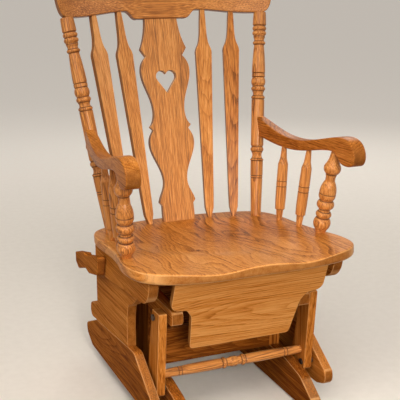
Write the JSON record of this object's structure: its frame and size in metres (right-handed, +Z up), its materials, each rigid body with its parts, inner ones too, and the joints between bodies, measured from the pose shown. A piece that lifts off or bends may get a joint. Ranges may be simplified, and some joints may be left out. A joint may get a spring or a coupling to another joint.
{
  "type": "glider rocker",
  "caption": "Wooden glider rocker: saddle seat, sawn splat back, turned posts and scrolled arms, hung on swing links from a fixed base so that it glides forward and back.",
  "frame": {"origin": "on the floor, under the centre of the chair's bounding box", "axes": "+Z up; the chair faces -Y; +X is to the right as seen from in front of the chair"},
  "size_m": [0.6422, 0.7389, 1.0875],
  "materials": {
    "oak": "satin lacquer over golden stain",
    "steel": "plated",
    "bearing": "matt",
    "pad": "matt"
  },
  "bodies": {
    "base": {"foot_right": "oak", "foot_left": "oak", "upright_right": "oak", "upright_left": "oak", "top_rail_right": "oak", "top_rail_left": "oak", "cross_plank_front": "oak", "cross_plank_rear": "oak", "floor_pads": "pad", "upper_bolts": "steel", "upper_spacers": "steel"},
    "front_links": {"front_link_right": "oak", "front_link_left": "oak", "front_stretcher": "oak", "front_bearings": "bearing"},
    "rear_links": {"rear_link_right": "oak", "rear_link_left": "oak", "rear_stretcher": "oak", "rear_bearings": "bearing"},
    "seat_unit": {"seat": "oak", "crest_rail": "oak", "splat": "oak", "back_bar_1": "oak", "back_bar_2": "oak", "back_bar_3": "oak", "back_bar_4": "oak", "back_post_right": "oak", "back_post_left": "oak", "arm_right": "oak", "arm_left": "oak", "arm_post_right": "oak", "arm_post_left": "oak", "arm_spindle_right_1": "oak", "arm_spindle_right_2": "oak", "arm_spindle_left_1": "oak", "arm_spindle_left_2": "oak", "seat_rail_right": "oak", "seat_rail_left": "oak", "side_panel_right": "oak", "side_panel_left": "oak", "lower_rail_right": "oak", "lower_rail_left": "oak", "front_skirt": "oak", "rear_cross_rail": "oak", "lower_bolts": "steel", "lower_spacers": "steel", "lever_bolt": "steel", "lever_washer": "steel"},
    "lever": {"hand_lever": "oak"}
  },
  "joints": [
    {"name": "front_swing", "type": "hinge", "parent": "base", "child": "front_links", "pos_m": [0, -0.19576, 0.288], "axis": [1, 0, 0], "range_deg": [-18, 18]},
    {"name": "rear_swing", "type": "hinge", "parent": "base", "child": "rear_links", "pos_m": [0, 0.21624, 0.288], "axis": [1, 0, 0], "range_deg": [-18, 18]},
    {"name": "seat_swing", "type": "hinge", "parent": "front_links", "child": "seat_unit", "pos_m": [0, -0.19576, 0.096], "axis": [1, 0, 0], "range_deg": [-18, 18]},
    {"name": "lever_turn", "type": "hinge", "parent": "seat_unit", "child": "lever", "pos_m": [-0.2755, 0.09025, 0.345], "axis": [1, 0, 0], "range_deg": [-14, 12]}
  ],
  "couplings": [
    {"joint": "rear_swing", "follows": "front_swing", "ratio": 1},
    {"joint": "seat_swing", "follows": "front_swing", "ratio": -1}
  ]
}
